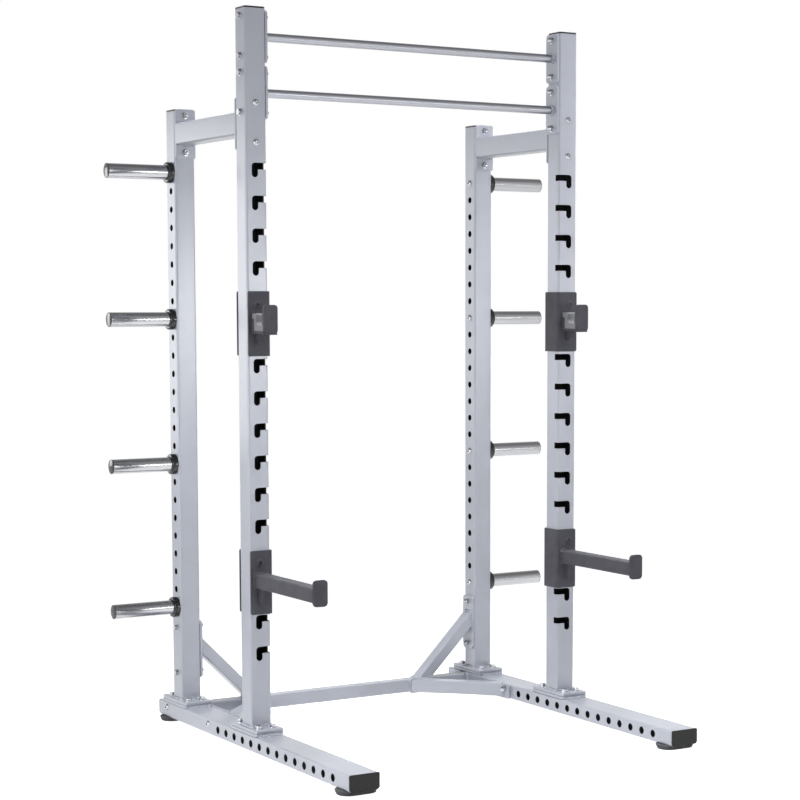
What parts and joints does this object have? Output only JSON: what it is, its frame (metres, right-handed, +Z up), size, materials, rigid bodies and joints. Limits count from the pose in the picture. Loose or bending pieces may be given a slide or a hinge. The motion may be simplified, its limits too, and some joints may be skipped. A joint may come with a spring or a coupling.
{
  "type": "squat rack",
  "caption": "Half rack with slotted uprights, sliding bar hooks and spotter arms, pull-up bars and plate horns",
  "frame": {"origin": "centre of the rack's box at floor level", "axes": "X across the rack, -Y towards the front where the hooks and arms are, Z up"},
  "size_m": [1.6852, 1.35, 2.31],
  "materials": {
    "silver_coat": "silver-grey powder coat on steel tube, satin with a fine grain",
    "charcoal_coat": "charcoal powder coat on folded steel plate, satin",
    "chrome": "bright chrome plate on steel tube",
    "black_plastic": "moulded black plastic, satin",
    "rubber": "moulded dark rubber, matt",
    "pale_plastic": "machined pale grey polyethylene, waxy"
  },
  "bodies": {
    "frame": {"base_rail_left": "silver_coat", "base_rail_right": "silver_coat", "front_upright_left": "silver_coat", "front_upright_right": "silver_coat", "rear_upright_left": "silver_coat", "rear_upright_right": "silver_coat", "side_arm_left": "silver_coat", "side_arm_right": "silver_coat", "brace_left": "silver_coat", "brace_right": "silver_coat", "rail_cap_front_left": "black_plastic", "rail_cap_front_right": "black_plastic", "rail_cap_rear_left": "black_plastic", "rail_cap_rear_right": "black_plastic", "front_upright_cap_left": "black_plastic", "front_upright_cap_right": "black_plastic", "rear_upright_cap_left": "black_plastic", "rear_upright_cap_right": "black_plastic", "foot_pad_front_left": "rubber", "foot_pad_front_right": "rubber", "foot_pad_rear_left": "rubber", "foot_pad_rear_right": "rubber", "rear_crossmember": "silver_coat", "pull_up_bar_upper": "silver_coat", "pull_up_bar_lower": "silver_coat", "plate_horn_1_left": "chrome", "horn_collar_1_left": "black_plastic", "horn_cap_1_left": "black_plastic", "plate_horn_1_right": "chrome", "horn_collar_1_right": "black_plastic", "horn_cap_1_right": "black_plastic", "plate_horn_2_left": "chrome", "horn_collar_2_left": "black_plastic", "horn_cap_2_left": "black_plastic", "plate_horn_2_right": "chrome", "horn_collar_2_right": "black_plastic", "horn_cap_2_right": "black_plastic", "plate_horn_3_left": "chrome", "horn_collar_3_left": "black_plastic", "horn_cap_3_left": "black_plastic", "plate_horn_3_right": "chrome", "horn_collar_3_right": "black_plastic", "horn_cap_3_right": "black_plastic", "plate_horn_4_left": "chrome", "horn_collar_4_left": "black_plastic", "horn_cap_4_left": "black_plastic", "plate_horn_4_right": "chrome", "horn_collar_4_right": "black_plastic", "horn_cap_4_right": "black_plastic"},
    "hook_left": {"bar_hook_left": "charcoal_coat", "hook_liner_left": "pale_plastic"},
    "spotter_left": {"spotter_arm_left": "charcoal_coat"},
    "hook_right": {"bar_hook_right": "charcoal_coat", "hook_liner_right": "pale_plastic"},
    "spotter_right": {"spotter_arm_right": "charcoal_coat"}
  },
  "joints": [
    {"name": "hook_left_lift", "type": "slide", "parent": "frame", "child": "hook_left", "axis": [0, 0, 1], "range_m": [0, 0.024]},
    {"name": "spotter_left_lift", "type": "slide", "parent": "frame", "child": "spotter_left", "axis": [0, 0, 1], "range_m": [0, 0.024]},
    {"name": "hook_right_lift", "type": "slide", "parent": "frame", "child": "hook_right", "axis": [0, 0, 1], "range_m": [0, 0.024]},
    {"name": "spotter_right_lift", "type": "slide", "parent": "frame", "child": "spotter_right", "axis": [0, 0, 1], "range_m": [0, 0.024]}
  ]
}
